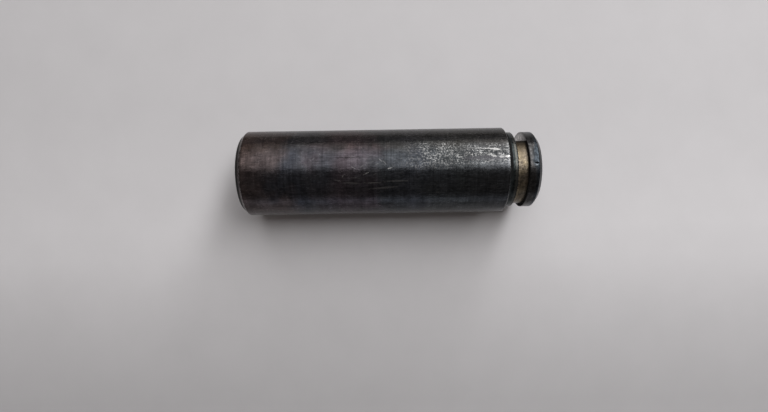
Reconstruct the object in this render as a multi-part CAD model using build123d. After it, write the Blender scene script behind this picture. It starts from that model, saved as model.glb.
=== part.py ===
from build123d import *

import os

# Brake shoe pin: a single bar of steel turned, hardened and ground to the pivot that a
# brake shoe swings on.  It stands on its plain end, with +Z along the pin and Z = 0 on
# the plain end face, and its lock flat faces -X.  Every length is in millimetres.

# Shank: the ground bearing that carries the shoe's eye
shank_diameter = 28.0
shank_length = 85.55
lead_chamfer_depth = 1.7
lead_chamfer_length = 1.75
shank_edge_break = 0.3

# Collar: the short neck between the shoulder and the groove
shoulder_height = 1.55
shoulder_root_radius = 0.9
collar_length = 2.75
collar_edge_break = 0.2

# Groove that a lock plate slides into, and the flat in it that stops the pin from turning
groove_depth = 1.15
groove_width = 3.6
groove_corner_radius = 0.2
lock_flat_depth = 2.7

# Head: the thin disc that keeps the lock plate in its groove
head_lip_height = 1.15
head_thickness = 4.3
head_chamfer_depth = 1.6
head_chamfer_length = 1.3
head_edge_break = 0.15

# Heights of the three turned steps above the plain end
shoulder_z = shank_length
groove_start_z = shoulder_z + collar_length
groove_end_z = groove_start_z + groove_width
top_z = groove_end_z + head_thickness

# Radii of the same steps, each turned down from the one before, and of the head's rim
shank_radius = shank_diameter / 2
collar_radius = shank_radius - shoulder_height
groove_floor_radius = collar_radius - groove_depth
head_radius = groove_floor_radius + head_lip_height


def turned_blank():
    """Half section of the pin with every step square, drawn in the XZ plane."""
    with BuildSketch(Plane.XZ) as section:
        with BuildLine():
            Polyline(
                (0, 0),
                (shank_radius - lead_chamfer_depth, 0),
                (shank_radius, lead_chamfer_length),
                (shank_radius, shoulder_z),
                (collar_radius, shoulder_z),
                (collar_radius, groove_start_z),
                (groove_floor_radius, groove_start_z),
                (groove_floor_radius, groove_end_z),
                (head_radius, groove_end_z),
                (head_radius, top_z - head_chamfer_length),
                (head_radius - head_chamfer_depth, top_z),
                (0, top_z),
                close=True,
            )
        make_face()
    return section.sketch


def corner(section, radius, height):
    """The corner of the half section at this radius and height."""
    place = Vector(radius, 0, height)
    return section.vertices().sort_by_distance(place)[0]


# The tool's nose leaves small radii in the inner corners, and a file breaks the outer ones
profile = turned_blank()
profile = chamfer(corner(profile, shank_radius, shoulder_z), shank_edge_break)
profile = fillet(corner(profile, collar_radius, shoulder_z), shoulder_root_radius)
profile = chamfer(corner(profile, collar_radius, groove_start_z), collar_edge_break)
profile = fillet(corner(profile, groove_floor_radius, groove_start_z), groove_corner_radius)
profile = fillet(corner(profile, groove_floor_radius, groove_end_z), groove_corner_radius)
profile = chamfer(corner(profile, head_radius, groove_end_z), head_edge_break)

turned_pin = revolve(profile, axis=Axis.Z)

# The lock flat is milled across the groove on the -X side, as wide as the groove itself
cutter_size = (shank_radius, shank_diameter, groove_width)
lock_flat_cutter = Box(*cutter_size, align=(Align.MAX, Align.CENTER, Align.MIN))
lock_flat_place = Pos(lock_flat_depth - groove_floor_radius, 0, groove_start_z)

brake_shoe_pin = turned_pin - lock_flat_place * lock_flat_cutter
brake_shoe_pin.label = "brake_shoe_pin"

os.makedirs("parts", exist_ok=True)
export_step(brake_shoe_pin, "parts/brake_shoe_pin.step")
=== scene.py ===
import math

import bmesh
import bpy
from mathutils import Matrix, Vector


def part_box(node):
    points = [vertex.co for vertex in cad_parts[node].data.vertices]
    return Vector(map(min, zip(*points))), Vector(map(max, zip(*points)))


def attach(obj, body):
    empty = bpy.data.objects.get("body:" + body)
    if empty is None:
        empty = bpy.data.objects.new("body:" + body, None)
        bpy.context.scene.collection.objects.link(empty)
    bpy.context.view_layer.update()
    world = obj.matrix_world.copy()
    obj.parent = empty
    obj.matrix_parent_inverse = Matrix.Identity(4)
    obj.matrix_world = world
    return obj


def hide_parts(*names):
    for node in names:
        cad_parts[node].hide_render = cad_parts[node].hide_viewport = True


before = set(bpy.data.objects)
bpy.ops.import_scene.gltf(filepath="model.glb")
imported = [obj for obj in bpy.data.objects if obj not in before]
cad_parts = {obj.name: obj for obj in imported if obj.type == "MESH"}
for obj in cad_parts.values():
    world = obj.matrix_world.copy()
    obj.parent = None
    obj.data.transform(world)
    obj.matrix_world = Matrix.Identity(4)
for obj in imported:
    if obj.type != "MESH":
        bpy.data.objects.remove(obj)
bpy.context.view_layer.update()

# ======================================================================================
# The pin
# One bar of hardened steel, turned down in steps from the shank to the collar, the lock
# plate groove and the head, then ground along the shank.  Nothing is fitted to it.  Its
# black heat-treatment skin is rubbed through where the shoe and the lock plate bear.
# ======================================================================================
MM = 0.001
STEPS_AROUND = 288

# The overall sizes come from the frame, and the turned steps repeat the part's own sizes.
node_low, node_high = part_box("brake_shoe_pin")
pin_length = node_high.z - node_low.z
shank_radius = (node_high.x - node_low.x) / 2
lead_chamfer_depth = 1.7 * MM
lead_chamfer_length = 1.75 * MM
shoulder_height = 1.55 * MM
collar_length = 2.75 * MM
groove_depth = 1.15 * MM
groove_width = 3.6 * MM
lock_flat_depth = 2.7 * MM
head_lip_height = 1.15 * MM
head_thickness = 4.3 * MM
head_chamfer_depth = 1.6 * MM
head_chamfer_length = 1.3 * MM

# Radii and heights of the steps, each worked out from the one before it.
collar_radius = shank_radius - shoulder_height
groove_floor_radius = collar_radius - groove_depth
head_radius = groove_floor_radius + head_lip_height
lock_flat_x = -(groove_floor_radius - lock_flat_depth)
lead_face_radius = shank_radius - lead_chamfer_depth
head_face_radius = head_radius - head_chamfer_depth
lead_end_z = lead_chamfer_length
head_chamfer_z = pin_length - head_chamfer_length
groove_end_z = pin_length - head_thickness
groove_start_z = groove_end_z - groove_width
shoulder_z = groove_start_z - collar_length


def select_by_place(kind, wanted):
    """In edit mode, selects only the vertices, edges or faces whose middle is wanted."""
    data = bpy.context.object.data
    mesh = bmesh.from_edit_mesh(data)
    for part in (*mesh.verts, *mesh.edges, *mesh.faces):
        part.select = False
    for part in getattr(mesh, kind):
        ends = [part] if kind == "verts" else part.verts
        if wanted(sum((end.co for end in ends), Vector()) / len(ends)):
            part.select_set(True)
    bmesh.update_edit_mesh(data)


def near(radius, height, reach=0.01 * MM):
    """A test for what lies within reach of this radius and height on the half section."""
    return lambda place: abs(place.x - radius) < reach and abs(place.z - height) < reach


# Half section, drawn corner by corner as one chain from the plain end up to the head.
corners = [
    (0.0, 0.0),
    (lead_face_radius, 0.0),
    (shank_radius, lead_end_z),
    (shank_radius, shoulder_z),
    (collar_radius, shoulder_z),
    (collar_radius, groove_start_z),
    (groove_floor_radius, groove_start_z),
    (groove_floor_radius, groove_end_z),
    (head_radius, groove_end_z),
    (head_radius, head_chamfer_z),
    (head_face_radius, pin_length),
    (0.0, pin_length),
]
bpy.ops.object.select_all(action="DESELECT")
bpy.ops.mesh.primitive_plane_add(size=MM)
pin = bpy.context.object
pin.name = "turned_pin"
bpy.ops.object.mode_set(mode="EDIT")
bpy.ops.mesh.select_mode(type="VERT")
bpy.ops.mesh.merge(type="CENTER")
for (r0, z0), (r1, z1) in zip(corners, corners[1:]):
    bpy.ops.mesh.extrude_vertices_move(TRANSFORM_OT_translate={"value": (r1 - r0, 0, z1 - z0)})

# Inner corners keep the radius of the tool's nose; outer ones are broken or worn round.
# From the plain end up, in millimetres.
corner_rounds = [0.12, 0.14, 0.3, 0.9, 0.2, 0.2, 0.2, 0.12, 0.2, 0.15]
for (radius, height), size in zip(corners[1:-1], corner_rounds):
    select_by_place("verts", near(radius, height))
    bpy.ops.mesh.bevel(offset=size * MM, segments=4, affect="VERTICES")

# Long runs are cut into short ones of about these lengths in millimetres, so that the
# unevenness is in the mesh itself.  The rounds move a run's middle by less than its drift.
run_pitches = [1.6, 0.4, 0.62, 0.25, 0.3, 0.4, 0.3, 0.4, 0.3, 0.3, 1.6]
middle_drift = 0.42 * MM
for (r0, z0), (r1, z1), pitch in zip(corners, corners[1:], run_pitches):
    select_by_place("edges", near((r0 + r1) / 2, (z0 + z1) / 2, middle_drift))
    run = math.hypot(r1 - r0, z1 - z0)
    bpy.ops.mesh.subdivide(number_cuts=max(1, round(run / (pitch * MM)) - 1))

bpy.ops.mesh.select_all(action="SELECT")
bpy.ops.mesh.spin(steps=STEPS_AROUND, angle=math.tau, center=(0, 0, 0), axis=(0, 0, 1))
bpy.ops.mesh.select_all(action="SELECT")
bpy.ops.mesh.remove_doubles(threshold=0.002 * MM)
bpy.ops.mesh.normals_make_consistent(inside=False)
bpy.ops.object.mode_set(mode="OBJECT")


def on_pin(angle, height, radius):
    """The place on the pin at this angle, in degrees round from -Y towards -X."""
    turn = math.radians(angle)
    return Vector((-math.sin(turn) * radius, -math.cos(turn) * radius, height))


# The groove is milled flat on one side, for the straight edge of the lock plate.
bpy.ops.mesh.primitive_cube_add(size=1)
cutter = bpy.context.object
bpy.ops.object.mode_set(mode="EDIT")
bpy.ops.mesh.select_all(action="SELECT")
bpy.ops.transform.resize(value=(shank_radius, 2 * shank_radius, groove_end_z - groove_start_z))
bpy.ops.transform.translate(
    value=(lock_flat_x - shank_radius / 2, 0, (groove_start_z + groove_end_z) / 2)
)
bpy.ops.object.mode_set(mode="OBJECT")
milled = pin.modifiers.new("lock flat", "BOOLEAN")
milled.operation = "DIFFERENCE"
milled.solver = "EXACT"
milled.object = cutter
bpy.context.view_layer.objects.active = pin
bpy.ops.object.modifier_apply(modifier=milled.name)
bpy.data.objects.remove(cutter)

# A blow has left a short slot across the corner of the head.  With no window, the rotate
# operator turns the other way, so each angle here has its sign changed.
slot_width = 0.46 * MM
slot_length = 1.15 * MM
slot_turns = (("Z", -38), ("X", 9), ("Y", -6))
slot_place = on_pin(5.0, pin_length - 2.2 * MM, head_radius + 0.03 * MM)
bpy.ops.mesh.primitive_cube_add(size=1)
chisel = bpy.context.object
bpy.ops.object.mode_set(mode="EDIT")
bpy.ops.mesh.select_all(action="SELECT")
bpy.ops.transform.resize(value=(slot_width, slot_width, slot_length))
for axis, degrees in slot_turns:
    bpy.ops.transform.rotate(
        value=math.radians(degrees),
        orient_axis=axis,
        orient_type="GLOBAL",
        center_override=(0, 0, 0),
    )
bpy.ops.transform.translate(value=slot_place)
bpy.ops.object.mode_set(mode="OBJECT")
cut = pin.modifiers.new("slot", "BOOLEAN")
cut.operation = "DIFFERENCE"
cut.solver = "EXACT"
cut.object = chisel
bpy.context.view_layer.objects.active = pin
bpy.ops.object.modifier_apply(modifier=cut.name)
bpy.data.objects.remove(chisel)

# Grinding and years of handling leave the surface a few hundredths of a millimetre uneven.
worn_face = bpy.data.textures.new("handled surface", "CLOUDS")
worn_face.noise_scale = 7 * MM
worn_face.noise_depth = 2
uneven = pin.modifiers.new("uneven", "DISPLACE")
uneven.texture = worn_face
uneven.texture_coords = "LOCAL"
uneven.mid_level = 0.5
uneven.strength = 0.05 * MM
bpy.ops.object.modifier_apply(modifier=uneven.name)
sharpest_smooth_corner = math.radians(28)
bpy.ops.object.select_all(action="DESELECT")
pin.select_set(True)
bpy.ops.object.shade_smooth_by_angle(angle=sharpest_smooth_corner)


def add_node(tree, kind, inputs=(), **settings):
    """A shader node with these settings; its inputs are linked to sockets or given values."""
    made = tree.nodes.new(kind)
    for name, value in settings.items():
        setattr(made, name, value)
    for name, value in dict(inputs).items():
        if isinstance(value, bpy.types.NodeSocket):
            tree.links.new(value, made.inputs[name])
        else:
            made.inputs[name].default_value = value
    return made


def calc(tree, operation, *values, clamp=False):
    """The output of a Math node on these values."""
    made = add_node(tree, "ShaderNodeMath", enumerate(values), operation=operation)
    made.use_clamp = clamp
    return made.outputs[0]


def ease(tree, value, low, high):
    """Goes smoothly from 0 to 1 as the value goes from low to high."""
    limits = {"Value": value, "From Min": low, "From Max": high}
    made = add_node(tree, "ShaderNodeMapRange", limits, interpolation_type="SMOOTHSTEP")
    return made.outputs["Result"]


def blend(tree, share, first, second):
    """A colour between the first and the second.  A Mix node's colour sockets are 6, 7 and 2."""
    made = add_node(tree, "ShaderNodeMix", {0: share, 6: first, 7: second}, data_type="RGBA")
    return made.outputs[2]


def inverse(tree, mask):
    """1 less the mask."""
    return calc(tree, "SUBTRACT", 1.0, mask)


def centred(tree, grey, spread):
    """A grey noise moved to lie round 0, and scaled by the spread."""
    return calc(tree, "MULTIPLY", calc(tree, "SUBTRACT", grey, 0.5), spread)


def wavering(tree, base, grey, spread):
    """The base with a centred noise added to it."""
    return calc(tree, "MULTIPLY_ADD", calc(tree, "SUBTRACT", grey, 0.5), spread, base)


def toned(tree, tone, grey, reach, floor):
    """The tone made uneven by a grey noise, which takes it from the floor up by the reach."""
    return calc(tree, "MULTIPLY", tone, calc(tree, "MULTIPLY_ADD", grey, reach, floor))


def scaled(tree, colour, amount):
    """A colour made lighter or darker by this amount."""
    inputs = {0: colour, "Scale": amount}
    return add_node(tree, "ShaderNodeVectorMath", inputs, operation="SCALE").outputs[0]


def colour_ramp(tree, share, stops):
    """A colour that runs through these stops, each of them a share and a colour."""
    made = add_node(tree, "ShaderNodeValToRGB", {"Fac": share})
    while len(made.color_ramp.elements) < len(stops):
        made.color_ramp.elements.new(0.5)
    for stop, (position, colour) in zip(made.color_ramp.elements, stops):
        stop.position = position
        stop.color = (*colour, 1)
    return made.outputs["Color"]


def noise(tree, place, scale, detail=2.0, roughness=0.5):
    """The grey value of a Noise texture."""
    inputs = {"Vector": place, "Scale": scale, "Detail": detail, "Roughness": roughness}
    return add_node(tree, "ShaderNodeTexNoise", inputs).outputs["Fac"]


def stretched(tree, place, x, y, z):
    """A place scaled by a different amount along each axis."""
    return add_node(
        tree, "ShaderNodeVectorMath", {0: place, 1: (x, y, z)}, operation="MULTIPLY"
    ).outputs[0]


def new_group(name, inputs, outputs):
    """A shader node group: its number inputs with their defaults, and its named outputs."""
    group = bpy.data.node_groups.new(name, "ShaderNodeTree")
    for socket, value in inputs.items():
        made = group.interface.new_socket(socket, in_out="INPUT", socket_type="NodeSocketFloat")
        made.default_value = value
    for socket in outputs:
        kind = "NodeSocketVector" if socket == "Place" else "NodeSocketFloat"
        group.interface.new_socket(socket, in_out="OUTPUT", socket_type=kind)
    given = group.nodes.new("NodeGroupInput").outputs
    made = group.nodes.new("NodeGroupOutput").inputs
    return group, given, made


# Where a point lies on the pin: along it, round it and from its axis in millimetres, and its
# angle round from -Y towards -X in radians.
whereabouts, _, out = new_group("whereabouts", {}, ["Place", "Along", "Around", "Radius", "Angle"])
spot = whereabouts.nodes.new("ShaderNodeTexCoord").outputs["Object"]
in_mm = stretched(whereabouts, spot, 1000, 1000, 1000)
axes = add_node(whereabouts, "ShaderNodeSeparateXYZ", {0: in_mm}).outputs
radius = calc(
    whereabouts,
    "SQRT",
    calc(
        whereabouts,
        "ADD",
        calc(whereabouts, "MULTIPLY", axes[0], axes[0]),
        calc(whereabouts, "MULTIPLY", axes[1], axes[1]),
    ),
)
back_x = calc(whereabouts, "MULTIPLY", axes[0], -1.0)
back_y = calc(whereabouts, "MULTIPLY", axes[1], -1.0)
angle = calc(whereabouts, "ARCTAN2", back_x, back_y)
for name, value in (
    ("Place", in_mm),
    ("Along", axes[2]),
    ("Around", calc(whereabouts, "MULTIPLY", angle, radius)),
    ("Radius", radius),
    ("Angle", angle),
):
    whereabouts.links.new(value, out[name])

# Short dashes of one slant, scattered over the surface, as grit and handling leave them.
dashes, given, out = new_group(
    "scattered dashes",
    {"Along": 0.0, "Around": 0.0, "Slant": 0.0, "Spacing": 4.0, "Thinness": 12.0, "Share": 0.4},
    ["Mask"],
)
flat = add_node(dashes, "ShaderNodeCombineXYZ", {0: given["Along"], 1: given["Around"]})
turned = add_node(
    dashes,
    "ShaderNodeVectorRotate",
    {"Vector": flat.outputs[0], "Angle": given["Slant"]},
    rotation_type="Z_AXIS",
)
parts = add_node(dashes, "ShaderNodeSeparateXYZ", {0: turned.outputs[0]}).outputs
cell = add_node(
    dashes,
    "ShaderNodeCombineXYZ",
    {
        0: calc(dashes, "DIVIDE", parts[0], given["Spacing"]),
        1: calc(
            dashes,
            "DIVIDE",
            calc(dashes, "MULTIPLY", parts[1], given["Thinness"]),
            given["Spacing"],
        ),
    },
)
scatter = add_node(
    dashes,
    "ShaderNodeTexVoronoi",
    {"Vector": cell.outputs[0], "Scale": 1.0},
    voronoi_dimensions="2D",
)
chosen = add_node(dashes, "ShaderNodeSeparateColor", {0: scatter.outputs["Color"]}).outputs
kept = calc(dashes, "LESS_THAN", chosen[0], given["Share"])
length = calc(dashes, "MULTIPLY_ADD", chosen[1], 0.25, 0.12)
dash = inverse(dashes, calc(dashes, "DIVIDE", scatter.outputs["Distance"], length))
# The angle jumps at the pin's back, so the dashes fade out before it.
from_front = calc(dashes, "ABSOLUTE", given["Around"])
clear_of_seam = inverse(dashes, ease(dashes, from_front, 34.0, 38.0))
dash = calc(dashes, "MULTIPLY", calc(dashes, "MULTIPLY", dash, kept), clear_of_seam, clamp=True)
dashes.links.new(dash, out["Mask"])

# One mark of a given place, length, width and slant, with a ragged outline.
mark, given, out = new_group(
    "single mark",
    {
        "Along": 0.0,
        "Around": 0.0,
        "Ragged": 0.0,
        "Height": 0.0,
        "Side": 0.0,
        "Length": 5.0,
        "Width": 0.5,
        "Slant": 0.0,
    },
    ["Mask"],
)
off = add_node(
    mark,
    "ShaderNodeCombineXYZ",
    {
        0: calc(mark, "SUBTRACT", given["Along"], given["Height"]),
        1: calc(mark, "SUBTRACT", given["Around"], given["Side"]),
    },
)
turned = add_node(
    mark,
    "ShaderNodeVectorRotate",
    {"Vector": off.outputs[0], "Angle": calc(mark, "MULTIPLY", given["Slant"], -1.0)},
    rotation_type="Z_AXIS",
)
parts = add_node(mark, "ShaderNodeSeparateXYZ", {0: turned.outputs[0]}).outputs
lengthways = calc(mark, "DIVIDE", parts[0], given["Length"])
sideways = calc(mark, "DIVIDE", parts[1], given["Width"])
reach = calc(
    mark,
    "MULTIPLY",
    calc(
        mark,
        "SQRT",
        calc(
            mark,
            "ADD",
            calc(mark, "MULTIPLY", lengthways, lengthways),
            calc(mark, "MULTIPLY", sideways, sideways),
        ),
    ),
    2.0,
)
reach = calc(mark, "ADD", reach, given["Ragged"])
mark.links.new(inverse(mark, ease(mark, reach, 0.55, 1.15)), out["Mask"])

# A band round the pin between two heights, with soft and wandering edges.
band, given, out = new_group(
    "turned band",
    {"Along": 0.0, "Low": 0.0, "High": 1.0, "Softness": 0.1, "Wander": 0.0},
    ["Mask"],
)
place = calc(band, "ADD", given["Along"], given["Wander"])
soft = given["Softness"]
above = add_node(
    band,
    "ShaderNodeMapRange",
    {
        "Value": place,
        "From Min": calc(band, "SUBTRACT", given["Low"], soft),
        "From Max": calc(band, "ADD", given["Low"], soft),
    },
    interpolation_type="SMOOTHSTEP",
).outputs["Result"]
below = add_node(
    band,
    "ShaderNodeMapRange",
    {
        "Value": place,
        "From Min": calc(band, "SUBTRACT", given["High"], soft),
        "From Max": calc(band, "ADD", given["High"], soft),
        "To Min": 1.0,
        "To Max": 0.0,
    },
    interpolation_type="SMOOTHSTEP",
).outputs["Result"]
band.links.new(calc(band, "MULTIPLY", above, below), out["Mask"])


def use(tree, group, **inputs):
    """Places a node group in a tree; input names are its sockets', all in lower case."""
    made = tree.nodes.new("ShaderNodeGroup")
    made.node_tree = group
    named = {socket.name.lower(): socket for socket in made.inputs}
    for name, value in inputs.items():
        if isinstance(value, bpy.types.NodeSocket):
            tree.links.new(value, named[name])
        else:
            named[name].default_value = value
    return made.outputs


def ring_mask(tree, at, low, high, softness, wander=0.0):
    """The mask of a turned band from low to high, in millimetres up the pin."""
    sockets = use(
        tree, band, along=at["Along"], low=low, high=high, softness=softness, wander=wander
    )
    return sockets["Mask"]


def principled(name):
    """A new metal material, its tree and its Principled shader."""
    made = bpy.data.materials.new(name)
    made.use_nodes = True
    found = made.node_tree.nodes["Principled BSDF"]
    found.inputs["Specular IOR Level"].default_value = 0.06
    return made, made.node_tree, found


def finish_metal(tree, found, colour, painted_shade, rough, height):
    """Links colour, a mask of painted shade, roughness and a height in millimetres to a Principled
    shader; the painted shade turns the steel black and dull.
    """
    painted_dark = blend(tree, painted_shade, colour, (0.004, 0.004, 0.004, 1))
    tree.links.new(painted_dark, found.inputs["Base Color"])
    tree.links.new(calc(tree, "MULTIPLY_ADD", painted_shade, -0.87, 0.88), found.inputs["Metallic"])
    tree.links.new(calc(tree, "MULTIPLY_ADD", painted_shade, 0.25, rough), found.inputs["Roughness"])
    bump = add_node(tree, "ShaderNodeBump", {"Height": height, "Distance": MM, "Strength": 1.0})
    tree.links.new(bump.outputs[0], found.inputs["Normal"])


# Heights of the steps in millimetres, as the masks read them.
lead_end = lead_end_z / MM
shoulder = shoulder_z / MM
groove_start = groove_start_z / MM
groove_end = groove_end_z / MM
head_chamfer = head_chamfer_z / MM

# --- Oxide over the shank -------------------------------------------------------------
# Heights are in millimetres, and angles in radians unless they are turned from degrees.
oxide, tree, shader = principled("oxidised shank steel")
at = use(tree, whereabouts)
cloud = noise(tree, at["Place"], 0.09, 3.0)
grain = noise(tree, stretched(tree, at["Place"], 1.0, 1.0, 0.45), 1.9, 3.0, 0.65)
fine_grain = noise(tree, stretched(tree, at["Place"], 1.0, 1.0, 0.8), 2.3, 3.0, 0.65)
rings = noise(tree, stretched(tree, at["Place"], 0.05, 0.05, 2.0), 1.0, 3.0, 0.7)
streaks = noise(tree, stretched(tree, at["Place"], 1.3, 1.3, 0.12), 1.0, 3.0, 0.7)

# Heat tints run along the pin, from brown at the plain end to a neutral grey.
tinted_length = 90.0
tints = [
    (0.00, (0.058, 0.042, 0.037)),
    (0.13, (0.049, 0.039, 0.037)),
    (0.20, (0.035, 0.035, 0.039)),
    (0.28, (0.035, 0.034, 0.036)),
    (0.37, (0.047, 0.037, 0.039)),
    (0.45, (0.045, 0.037, 0.039)),
    (0.52, (0.034, 0.035, 0.036)),
    (0.62, (0.035, 0.036, 0.039)),
    (0.75, (0.034, 0.035, 0.034)),
    (0.87, (0.028, 0.028, 0.028)),
    (1.00, (0.030, 0.030, 0.030)),
]
tint_place = wavering(tree, at["Along"], cloud, 34.0)
tint = colour_ramp(tree, calc(tree, "DIVIDE", tint_place, tinted_length), tints)
# Partly the skin's own colour and partly painted shade: round the pin the skin turns browner and
# darker towards the top of the highlight, and bluer and lighter below it.
browner_and_darker_up = ease(tree, calc(tree, "MULTIPLY_ADD", cloud, -0.5, at["Angle"]), 0.05, 0.4)
side_tint_and_shade = blend(tree, browner_and_darker_up, (1.06, 1.12, 1.22, 1), (0.99, 0.93, 0.875, 1))
patches = noise(tree, at["Place"], 0.3, 2.0)
mottle_and_painted_light = calc(tree, "MULTIPLY_ADD", grain, 1.7, 0.15)
mottle_and_painted_light = toned(tree, mottle_and_painted_light, patches, 1.3, 0.35)
mottle_and_painted_light = toned(tree, mottle_and_painted_light, rings, 1.4, 0.3)
mottle_and_painted_light = toned(tree, mottle_and_painted_light, streaks, 1.4, 0.3)

# Painted shade: over the half of the pin nearest the lead chamfer, a band round the pin towards -X,
# at the top of the highlight, is darkened, and the skin elsewhere is made a little lighter.
painted_top_shade = ease(tree, at["Along"], 58.0, 34.0)
painted_top_shade = calc(tree, "MULTIPLY", painted_top_shade, ease(tree, at["Angle"], 0.38, 0.56))
painted_top_shade = calc(tree, "MULTIPLY", painted_top_shade, ease(tree, at["Angle"], 0.85, 0.62))
mottle_and_painted_light = toned(tree, mottle_and_painted_light, painted_top_shade, -0.3, 1.05)
skin = add_node(
    tree, "ShaderNodeVectorMath", {0: tint, 1: side_tint_and_shade}, operation="MULTIPLY"
).outputs[0]
# Painted reflection: a strip low on the shank, round 50 to 60 degrees from -Y towards +X, is made
# lighter.
painted_low_reflection = ease(tree, at["Angle"], -0.7, -0.88)
painted_low_reflection = calc(tree, "MULTIPLY", painted_low_reflection, ease(tree, at["Angle"], -1.2, -1.04))
mottle_and_painted_light = toned(tree, mottle_and_painted_light, painted_low_reflection, 0.22, 1.0)
skin = scaled(tree, skin, mottle_and_painted_light)

# The loaded side of the bearing is rubbed to a silvery speckle towards the shoulder.
loaded_side = calc(tree, "COSINE", calc(tree, "SUBTRACT", at["Angle"], math.radians(17.2)))
narrowing = ease(tree, at["Along"], 60.0, 76.0)
loaded_side = calc(tree, "MULTIPLY_ADD", narrowing, -0.034, loaded_side)
loaded = ease(tree, loaded_side, 0.92, 0.97)
toward_shoulder = wavering(tree, at["Along"], cloud, 14.0)
toward_shoulder = ease(tree, toward_shoulder, 47.0, 64.0)
rubbed = toned(tree, toward_shoulder, loaded, 0.96, 0.04)
round_flecks = calc(tree, "MULTIPLY", fine_grain, 0.8)
drawn_flecks = calc(tree, "MULTIPLY", streaks, 0.2)
flecks = ease(tree, calc(tree, "ADD", round_flecks, drawn_flecks), 0.48, 0.64)
patchy = ease(tree, patches, 0.36, 0.6)
flecks = toned(tree, flecks, patchy, 0.6, 0.4)
flecks = calc(tree, "MULTIPLY", flecks, rubbed)
skin = blend(tree, calc(tree, "MULTIPLY", rubbed, 0.32), skin, (0.006, 0.006, 0.006, 1))
smooth_strip = use(
    tree,
    mark,
    along=at["Along"],
    around=at["Around"],
    ragged=centred(tree, grain, 1.0),
    height=78.0,
    side=2.7,
    length=15.0,
    width=1.7,
    slant=0.0,
)["Mask"]
flecks = calc(tree, "MULTIPLY", flecks, inverse(tree, calc(tree, "MULTIPLY", smooth_strip, 0.8)))
skin = blend(tree, calc(tree, "MULTIPLY", smooth_strip, 0.75), skin, (0.044, 0.043, 0.047, 1))

# Bare marks: streaks by the shoulder, a few scratches, and the glint of fresh nicks.  Each
# has its side in degrees, its height, length and width, its slant in degrees, and its depth.
ragged = centred(tree, fine_grain, 2.0)
mm_per_degree = math.pi / 180 * shank_radius / MM
bare_marks = [
    (25.0, 73.4, 2.6, 0.34, 6, 0.5),
    (24.4, 75.6, 3.6, 0.36, -2, 0.65),
    (24.0, 78.4, 3.6, 0.42, -1, 0.8),
    (23.0, 81.0, 3.4, 0.75, -8, 1.0),
    (22.0, 84.2, 1.8, 0.4, -4, 0.45),
    (26.5, 84.8, 1.5, 0.45, 10, 0.4),
    (15.6, 79.2, 1.6, 0.6, 12, 0.6),
    (13.4, 80.4, 1.8, 0.7, -10, 0.7),
    (16.2, 82.2, 1.4, 0.5, 8, 0.5),
    (12.2, 82.8, 2.0, 0.7, -6, 0.7),
    (7.6, 79.6, 1.8, 0.6, 6, 0.3),
    (12.6, 84.6, 1.8, 0.8, 0, 0.9),
    (-0.4, 48.3, 1.5, 0.36, 14, 1.27),
    (10.2, 45.4, 1.8, 0.24, -42, 0.46),
    (7.4, 46.6, 1.6, 0.24, -48, 0.37),
    (5.2, 44.4, 1.3, 0.24, 24, 0.28),
    (-6.4, 41.0, 2.2, 0.3, 24, 0.8),
    (-7.6, 43.6, 1.4, 0.26, 30, 0.5),
    (-9.6, 33.7, 0.9, 0.4, 60, 0.75),
    (-14.8, 32.0, 2.6, 0.45, -14, 0.45),
    (-12.0, 38.0, 3.4, 0.34, -8, 0.25),
    (-18.4, 36.4, 6.0, 0.45, -3, 0.42),
    (-18.6, 43.0, 6.0, 0.4, 0, 0.55),
    (-16.6, 50.6, 8.0, 0.62, 1, 0.36),
    (-25.4, 46.4, 10.0, 0.66, 4, 0.36),
    (1.0, 37.0, 1.8, 0.3, -30, 0.43),
    (2.4, 39.6, 1.4, 0.26, 35, 0.28),
    (13.0, 24.6, 0.9, 0.35, 20, 0.25),
    (-24.0, 72.0, 1.2, 0.45, 35, 0.12),
    (-33.0, 63.0, 1.6, 0.55, 0, 0.18),
]
dull_marks = [
    (20.4, 29.6, 5.0, 0.34, 0, 0.5),
    (14.2, 34.2, 10.5, 0.36, 1, 0.6),
    (17.0, 30.4, 4.4, 0.3, -2, 0.45),
]


def marked(tree, at, ragged, marks):
    """The deepest of these marks at every point."""
    deepest = 0.0
    for side, height, length, width, slant, depth in marks:
        each = use(
            tree,
            mark,
            along=at["Along"],
            around=at["Around"],
            ragged=ragged,
            height=height,
            side=side * mm_per_degree,
            length=length,
            width=width,
            slant=math.radians(slant),
        )
        deepest = calc(tree, "MAXIMUM", deepest, calc(tree, "MULTIPLY", each["Mask"], depth))
    return deepest


scored = marked(tree, at, ragged, bare_marks)
skin = blend(tree, marked(tree, at, ragged, dull_marks), skin, (0.010, 0.009, 0.009, 1))

# Fine scratches all over, most of them along the pin: slant, spacing, thinness and share.
scratch_sets = [
    (4, 5.0, 26.0, 0.35),
    (-9, 7.0, 34.0, 0.3),
    (52, 6.0, 30.0, 0.16),
    (-38, 5.0, 24.0, 0.14),
]
scratched = 0.0
for slant, spacing, thinness, share in scratch_sets:
    layer = use(
        tree,
        dashes,
        along=at["Along"],
        around=at["Around"],
        slant=math.radians(slant),
        spacing=spacing,
        thinness=thinness,
        share=share,
    )
    scratched = calc(tree, "MAXIMUM", scratched, layer["Mask"])
scratched = calc(tree, "MULTIPLY", scratched, ease(tree, cloud, 0.38, 0.6))

# The edges at the shoulder and the lead chamfer are bare.
wander = centred(tree, grain, 0.5)
shoulder_rub = ring_mask(tree, at, shoulder - 0.2, shoulder - 0.02, 0.12, wander)
struck_side = calc(tree, "COSINE", calc(tree, "SUBTRACT", at["Angle"], math.radians(14)))
struck_and_glint = ease(tree, struck_side, 0.93, 0.975)
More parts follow.
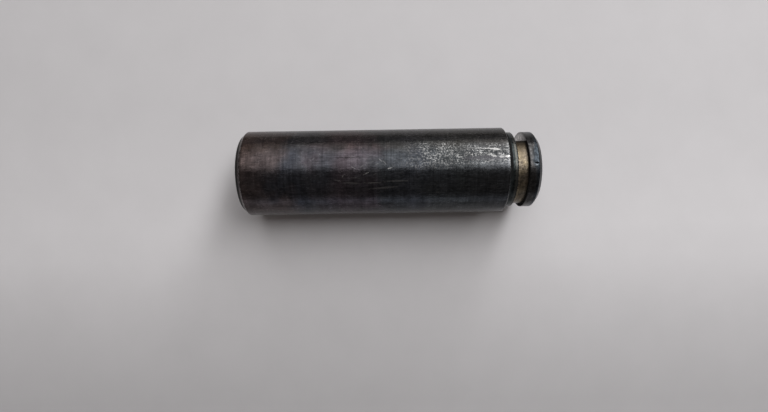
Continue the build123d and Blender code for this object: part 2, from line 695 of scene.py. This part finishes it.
# On its low side the shoulder edge is made bare as well, where it catches the light: a painted
# highlight over the real wear.
low_side = ease(tree, at["Angle"], -0.5, -0.8)
struck_and_glint = calc(tree, "MULTIPLY_ADD", struck_and_glint, 0.85, 0.1)
struck_and_glint = calc(tree, "ADD", struck_and_glint, calc(tree, "MULTIPLY", low_side, 0.42))
shoulder_rub = calc(tree, "MULTIPLY", shoulder_rub, struck_and_glint)
lead_rub = ring_mask(tree, at, lead_end - 0.12, lead_end + 0.14, 0.12, wander)
lead_rub = calc(tree, "MULTIPLY", lead_rub, ease(tree, grain, 0.35, 0.62))

# Painted shade: the lead chamfer is darkened almost to black, a painted dark reflection.
up_chamfer = wavering(tree, at["Along"], grain, 0.9)
painted_chamfer_shade = inverse(tree, ease(tree, up_chamfer, 0.8, 1.35))

bare = calc(tree, "MULTIPLY", flecks, 0.56)
for mask, strength in ((scored, 0.5), (shoulder_rub, 0.95), (lead_rub, 0.35), (scratched, 0.13)):
    bare = calc(tree, "MAXIMUM", bare, calc(tree, "MULTIPLY", mask, strength))
colour = blend(tree, bare, skin, (0.40, 0.395, 0.385, 1))
rough = wavering(tree, 0.25, grain, 0.2)
rough = calc(tree, "MULTIPLY_ADD", bare, 0.06, rough)
height = calc(tree, "MULTIPLY", rings, 0.012)
height = calc(tree, "MULTIPLY_ADD", streaks, 0.012, height)
height = calc(tree, "MULTIPLY_ADD", grain, 0.02, height)
height = calc(tree, "MULTIPLY_ADD", fine_grain, 0.012, height)
finish_metal(tree, shader, colour, calc(tree, "MULTIPLY", painted_chamfer_shade, 0.9), rough, height)

# --- Tarnished steel in the groove, rubbed bare by the lock plate --------------------------
tan, tree, shader = principled("tarnished groove steel")
at = use(tree, whereabouts)
cloud = noise(tree, at["Place"], 0.22, 3.0)
grain = noise(tree, stretched(tree, at["Place"], 1.0, 1.0, 0.7), 2.2, 3.0, 0.65)
rings = noise(tree, stretched(tree, at["Place"], 0.04, 0.04, 3.4), 1.0, 3.0, 0.7)
tone = calc(tree, "MULTIPLY_ADD", grain, 2.4, -0.2)
tone = toned(tree, tone, rings, 2.0, 0.05)
stains = ease(tree, noise(tree, at["Place"], 1.0, 3.0, 0.6), 0.32, 0.66)
tone = toned(tree, tone, stains, 0.5, 0.74)
browned = ease(tree, cloud, 0.35, 0.65)
warm = blend(tree, browned, (0.106, 0.086, 0.058, 1), (0.084, 0.070, 0.055, 1))
warm = scaled(tree, warm, tone)

# Painted shade: both corners of the groove are darkened, and the floor is darkened towards the lock
# flat, most of all at the flat's edge.
wander = centred(tree, grain, 0.7)
low_corner = ring_mask(tree, at, groove_start - 0.4, groove_start + 0.42, 0.15, wander)
high_corner = ring_mask(tree, at, groove_end - 0.22, groove_end + 0.1, 0.1, wander)
painted_groove_shade = calc(tree, "MAXIMUM", low_corner, high_corner)
flat_reach = -lock_flat_x / MM
toward_flat = calc(tree, "MULTIPLY", at["Radius"], calc(tree, "SINE", at["Angle"]))
toward_flat = calc(tree, "MULTIPLY_ADD", wander, 1.6, toward_flat)
shade = ease(tree, toward_flat, 1.5, flat_reach - 0.4)
warm = blend(tree, shade, warm, (0.030, 0.023, 0.015, 1))
flat_edge = ease(tree, toward_flat, flat_reach - 1.1, flat_reach - 0.4)
painted_groove_shade = calc(tree, "MAXIMUM", painted_groove_shade, calc(tree, "MULTIPLY", flat_edge, 0.8))
rough = wavering(tree, 0.36, grain, 0.2)
height = calc(tree, "MULTIPLY", rings, 0.03)
height = calc(tree, "MULTIPLY_ADD", grain, 0.015, height)
finish_metal(tree, shader, warm, calc(tree, "MULTIPLY", painted_groove_shade, 0.9), rough, height)

# --- Blue-grey oxide over the collar and the head ---------------------------------------
slate, tree, shader = principled("slate head steel")
at = use(tree, whereabouts)
cloud = noise(tree, at["Place"], 0.16, 3.0)
grain = noise(tree, stretched(tree, at["Place"], 1.0, 1.0, 0.6), 2.0, 3.0, 0.65)
rings = noise(tree, stretched(tree, at["Place"], 0.05, 0.05, 2.2), 1.0, 3.0, 0.7)
tone = calc(tree, "MULTIPLY_ADD", grain, 1.8, 0.1)
tone = toned(tree, tone, rings, 2.0, 0.0)
blotches = ease(tree, noise(tree, at["Place"], 0.8, 3.0, 0.6), 0.3, 0.7)
tone = toned(tree, tone, blotches, 0.9, 0.55)
# Painted reflection: the collar and the head are made lighter on their low side, towards +X.
painted_low_side = ease(tree, at["Angle"], -0.65, -0.95)
tone = toned(tree, tone, painted_low_side, 0.45, 1.0)

# The rim is blued, the collar greener, and the head's chamfer darker than both.
blued = wavering(tree, at["Along"], cloud, 5.0)
blued = ease(tree, blued, groove_end + 0.9, groove_end + 2.4)
cool = blend(tree, blued, (0.028, 0.027, 0.027, 1), (0.019, 0.0225, 0.0265, 1))
on_collar = inverse(tree, ease(tree, at["Along"], groove_start, groove_start + 1.0))
cool = blend(tree, on_collar, cool, (0.022, 0.026, 0.026, 1))
on_chamfer = ease(tree, at["Along"], head_chamfer - 0.1, head_chamfer + 0.3)
cool = blend(tree, calc(tree, "MULTIPLY", on_chamfer, 0.5), cool, (0.014, 0.015, 0.0165, 1))
cool = scaled(tree, cool, tone)

# The lock plate has rubbed the collar lighter beside the groove.
wander = centred(tree, grain, 0.6)
collar_edge = ring_mask(tree, at, groove_start - 0.85, groove_start - 0.3, 0.22, wander)
outer = ease(tree, at["Radius"], collar_radius / MM - 0.4, collar_radius / MM - 0.1)
collar_edge = calc(tree, "MULTIPLY", collar_edge, outer)
colour = blend(tree, calc(tree, "MULTIPLY", collar_edge, 0.7), cool, (0.066, 0.064, 0.058, 1))

# Painted shade: the root of the shoulder is darkened, most on the upper side, and the inner side of
# the head is painted black except above the flat, where it keeps a light steel colour. The collar's
# lip by the groove is darkened too.
root_wander = calc(tree, "MULTIPLY", wander, 0.5)
painted_root_shade = ring_mask(tree, at, shoulder - 0.2, shoulder + 1.2, 0.12, root_wander)
inner_side = ring_mask(tree, at, groove_end - 0.2, groove_end + 0.03, 0.03)
side_edge = wavering(tree, at["Radius"], blotches, 0.5)
side_edge = ease(tree, side_edge, head_radius / MM - 1.1, head_radius / MM - 0.2)
side_tone = toned(tree, tone, side_edge, -0.62, 1.0)
inner_side_steel = scaled(tree, (0.33, 0.315, 0.305), side_tone)
colour = blend(tree, inner_side, colour, inner_side_steel)
toward_flat = calc(tree, "MULTIPLY", at["Radius"], calc(tree, "SINE", at["Angle"]))
toward_flat = calc(tree, "MULTIPLY_ADD", wander, 0.5, toward_flat)
painted_inner_shade = inverse(tree, ease(tree, toward_flat, flat_reach - 0.25, flat_reach + 0.1))
lip_wander = calc(tree, "MULTIPLY", wander, 0.4)
groove_lip = ring_mask(tree, at, groove_start - 0.2, groove_start + 0.2, 0.08, lip_wander)
upper = calc(tree, "MULTIPLY_ADD", ease(tree, at["Angle"], -0.5, 0.05), 0.7, 0.3)
painted_root_shade = calc(tree, "MULTIPLY", painted_root_shade, upper)
painted_shade = calc(tree, "MAXIMUM", painted_root_shade, calc(tree, "MULTIPLY", inner_side, painted_inner_shade))
painted_shade = calc(tree, "MAXIMUM", painted_shade, calc(tree, "MULTIPLY", groove_lip, 0.85))

# The burr beside the slot is bright.
burr_degrees = 1.9
burr_height = 94.05
burr = use(
    tree,
    mark,
    along=at["Along"],
    around=at["Around"],
    ragged=centred(tree, grain, 1.2),
    height=burr_height,
    side=burr_degrees * math.pi / 180 * head_radius / MM,
    length=0.8,
    width=0.5,
    slant=0.1,
)["Mask"]
colour = blend(tree, calc(tree, "MULTIPLY", burr, 0.13), colour, (0.40, 0.42, 0.43, 1))
rough = wavering(tree, 0.3, grain, 0.2)
height = calc(tree, "MULTIPLY", rings, 0.016)
height = calc(tree, "MULTIPLY_ADD", grain, 0.02, height)
finish_metal(tree, shader, colour, calc(tree, "MULTIPLY", painted_shade, 0.96), rough, height)

# Each face takes its steel by its place: the shank, the groove, or the collar and the head.
for material in (oxide, tan, slate):
    pin.data.materials.append(material)
shank_top = shoulder_z - 0.02 * MM
groove_bottom = groove_start_z - 0.1 * MM
groove_top = groove_end_z - 0.02 * MM
groove_outside = head_radius - 0.05 * MM
for face in pin.data.polygons:
    middle = face.center
    in_groove = groove_bottom < middle.z < groove_top
    if middle.z < shank_top:
        face.material_index = 0
    elif in_groove and math.hypot(middle.x, middle.y) < groove_outside:
        face.material_index = 1
    else:
        face.material_index = 2

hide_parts("brake_shoe_pin")
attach(pin, "root")

# ======================================================================================
# Sheet, light and camera
# The pin is looked at side on, with a pale sheet close behind it and the light coming
# from its -X side.  The pin stands in its own frame, so the sheet is upright.
# ======================================================================================
sheet_gap = 0.04 * MM
sheet_height = 0.37
sheet_length = 0.46
bpy.ops.object.select_all(action="DESELECT")
bpy.ops.mesh.primitive_plane_add(
    size=1.0, location=(0, shank_radius + sheet_gap, pin_length / 2), rotation=(math.pi / 2, 0, 0)
)
sheet = bpy.context.object
bpy.ops.object.mode_set(mode="EDIT")
bpy.ops.mesh.select_all(action="SELECT")
bpy.ops.transform.resize(value=(sheet_height, 1, sheet_length))
bpy.ops.transform.translate(value=(0.115, 0, 0.08))
bpy.ops.object.mode_set(mode="OBJECT")
sheet.name = "pale_sheet"
paper = bpy.data.materials.new("pale paper")
paper.use_nodes = True
tree = paper.node_tree
shader = tree.nodes["Principled BSDF"]
shader.inputs["Roughness"].default_value = 0.9
shader.inputs["Specular IOR Level"].default_value = 0.1
spot = add_node(tree, "ShaderNodeTexCoord").outputs["Object"]

# Painted shade: the sheet's colour is lightest beside the pin and greyer away from it, most of all
# towards +X, standing in for light falling off.
painted_falloff_tones = [
    (0.0, 0.89),
    (0.25, 0.905),
    (0.55, 1.0),
    (0.63, 0.98),
    (0.72, 0.895),
    (0.82, 0.81),
    (0.92, 0.75),
    (1.0, 0.70),
]
fall = [(share, (0.54 * tone, 0.528 * tone, 0.538 * tone)) for share, tone in painted_falloff_tones]
down = add_node(tree, "ShaderNodeSeparateXYZ", {0: spot}).outputs[0]
painted_falloff_tint = colour_ramp(tree, calc(tree, "MULTIPLY_ADD", down, 7.0, 0.42), fall)
pulp = noise(tree, spot, 60.0, 4.0, 0.6)
paper_colour = scaled(tree, painted_falloff_tint, calc(tree, "MULTIPLY_ADD", pulp, 0.09, 0.955))
tree.links.new(paper_colour, shader.inputs["Base Color"])

# Seen from behind, the sheet is clear, so that it never hides the pin.
clear = add_node(tree, "ShaderNodeBsdfTransparent")
side = add_node(tree, "ShaderNodeNewGeometry")
mix = add_node(tree, "ShaderNodeMixShader", {0: side.outputs["Backfacing"]})
tree.links.new(shader.outputs[0], mix.inputs[1])
tree.links.new(clear.outputs[0], mix.inputs[2])
tree.links.new(mix.outputs[0], tree.nodes["Material Output"].inputs["Surface"])
sheet.data.materials.append(paper)

# The room is dim, with a lighter ring that is brightest towards +X.
world = bpy.data.worlds.new("soft room")
bpy.context.scene.world = world
world.use_nodes = True
tree = world.node_tree
facing = add_node(tree, "ShaderNodeTexCoord").outputs["Generated"]
way = add_node(tree, "ShaderNodeSeparateXYZ", {0: facing}).outputs
rise = calc(tree, "ABSOLUTE", way[1])
lower_side = ease(tree, way[0], 0.2, 0.7)
ring = blend(tree, lower_side, (0.27, 0.28, 0.33, 1), (0.70, 0.71, 0.77, 1))
walls = blend(tree, ease(tree, rise, 0.02, 0.285), ring, (0.122, 0.108, 0.100, 1))
tree.links.new(walls, tree.nodes["Background"].inputs["Color"])


def softbox(name, tilt, lean, distance, width, length, power):
    """A soft panel aimed at the pin: tilt turns it towards -X, and lean raises it towards +Z."""
    data = bpy.data.lights.new(name, "AREA")
    data.shape = "RECTANGLE"
    data.size = length
    data.size_y = width
    data.energy = power
    panel = bpy.data.objects.new(name, data)
    bpy.context.scene.collection.objects.link(panel)
    aim = Vector((0, 0, pin_length / 2))
    level = math.cos(lean)
    way = Vector((-math.sin(tilt) * level, -math.cos(tilt) * level, math.sin(lean)))
    back = way.normalized()
    across = Vector((0, 0, 1)).cross(back).normalized().cross(back) * -1
    up = back.cross(across)
    turn = Matrix((across, up, back)).transposed().to_4x4()
    panel.matrix_world = Matrix.Translation(aim + way * distance) @ turn


softbox(
    "window",
    tilt=math.radians(41.5),
    lean=math.radians(5),
    distance=1.1,
    width=1.62,
    length=1.05,
    power=10.3,
)
softbox(
    "lamp",
    tilt=math.radians(40.5),
    lean=math.radians(28),
    distance=0.8,
    width=1.04,
    length=0.22,
    power=6.2,
)

# The camera looks at the pin side on, turned so that the pin lies across the view.
camera_data = bpy.data.cameras.new("camera")
camera_data.lens = 21.6
camera_data.sensor_width = 36.0
camera = bpy.data.objects.new("camera", camera_data)
bpy.context.scene.collection.objects.link(camera)
bpy.context.scene.camera = camera
camera.location = (12.5 * MM, -155.5 * MM, 46.7 * MM)
roll = math.radians(0.93)
pitch = math.radians(-0.33)
yaw = math.radians(-0.17)
side_on = Matrix(((0, -1, 0), (0, 0, -1), (1, 0, 0)))
turn = Matrix.Rotation(roll, 3, "Z") @ Matrix.Rotation(pitch, 3, "X") @ Matrix.Rotation(yaw, 3, "Y")
camera.rotation_mode = "QUATERNION"
camera.rotation_quaternion = (side_on @ turn.transposed()).to_quaternion()

bpy.context.scene.view_settings.view_transform = "Standard"
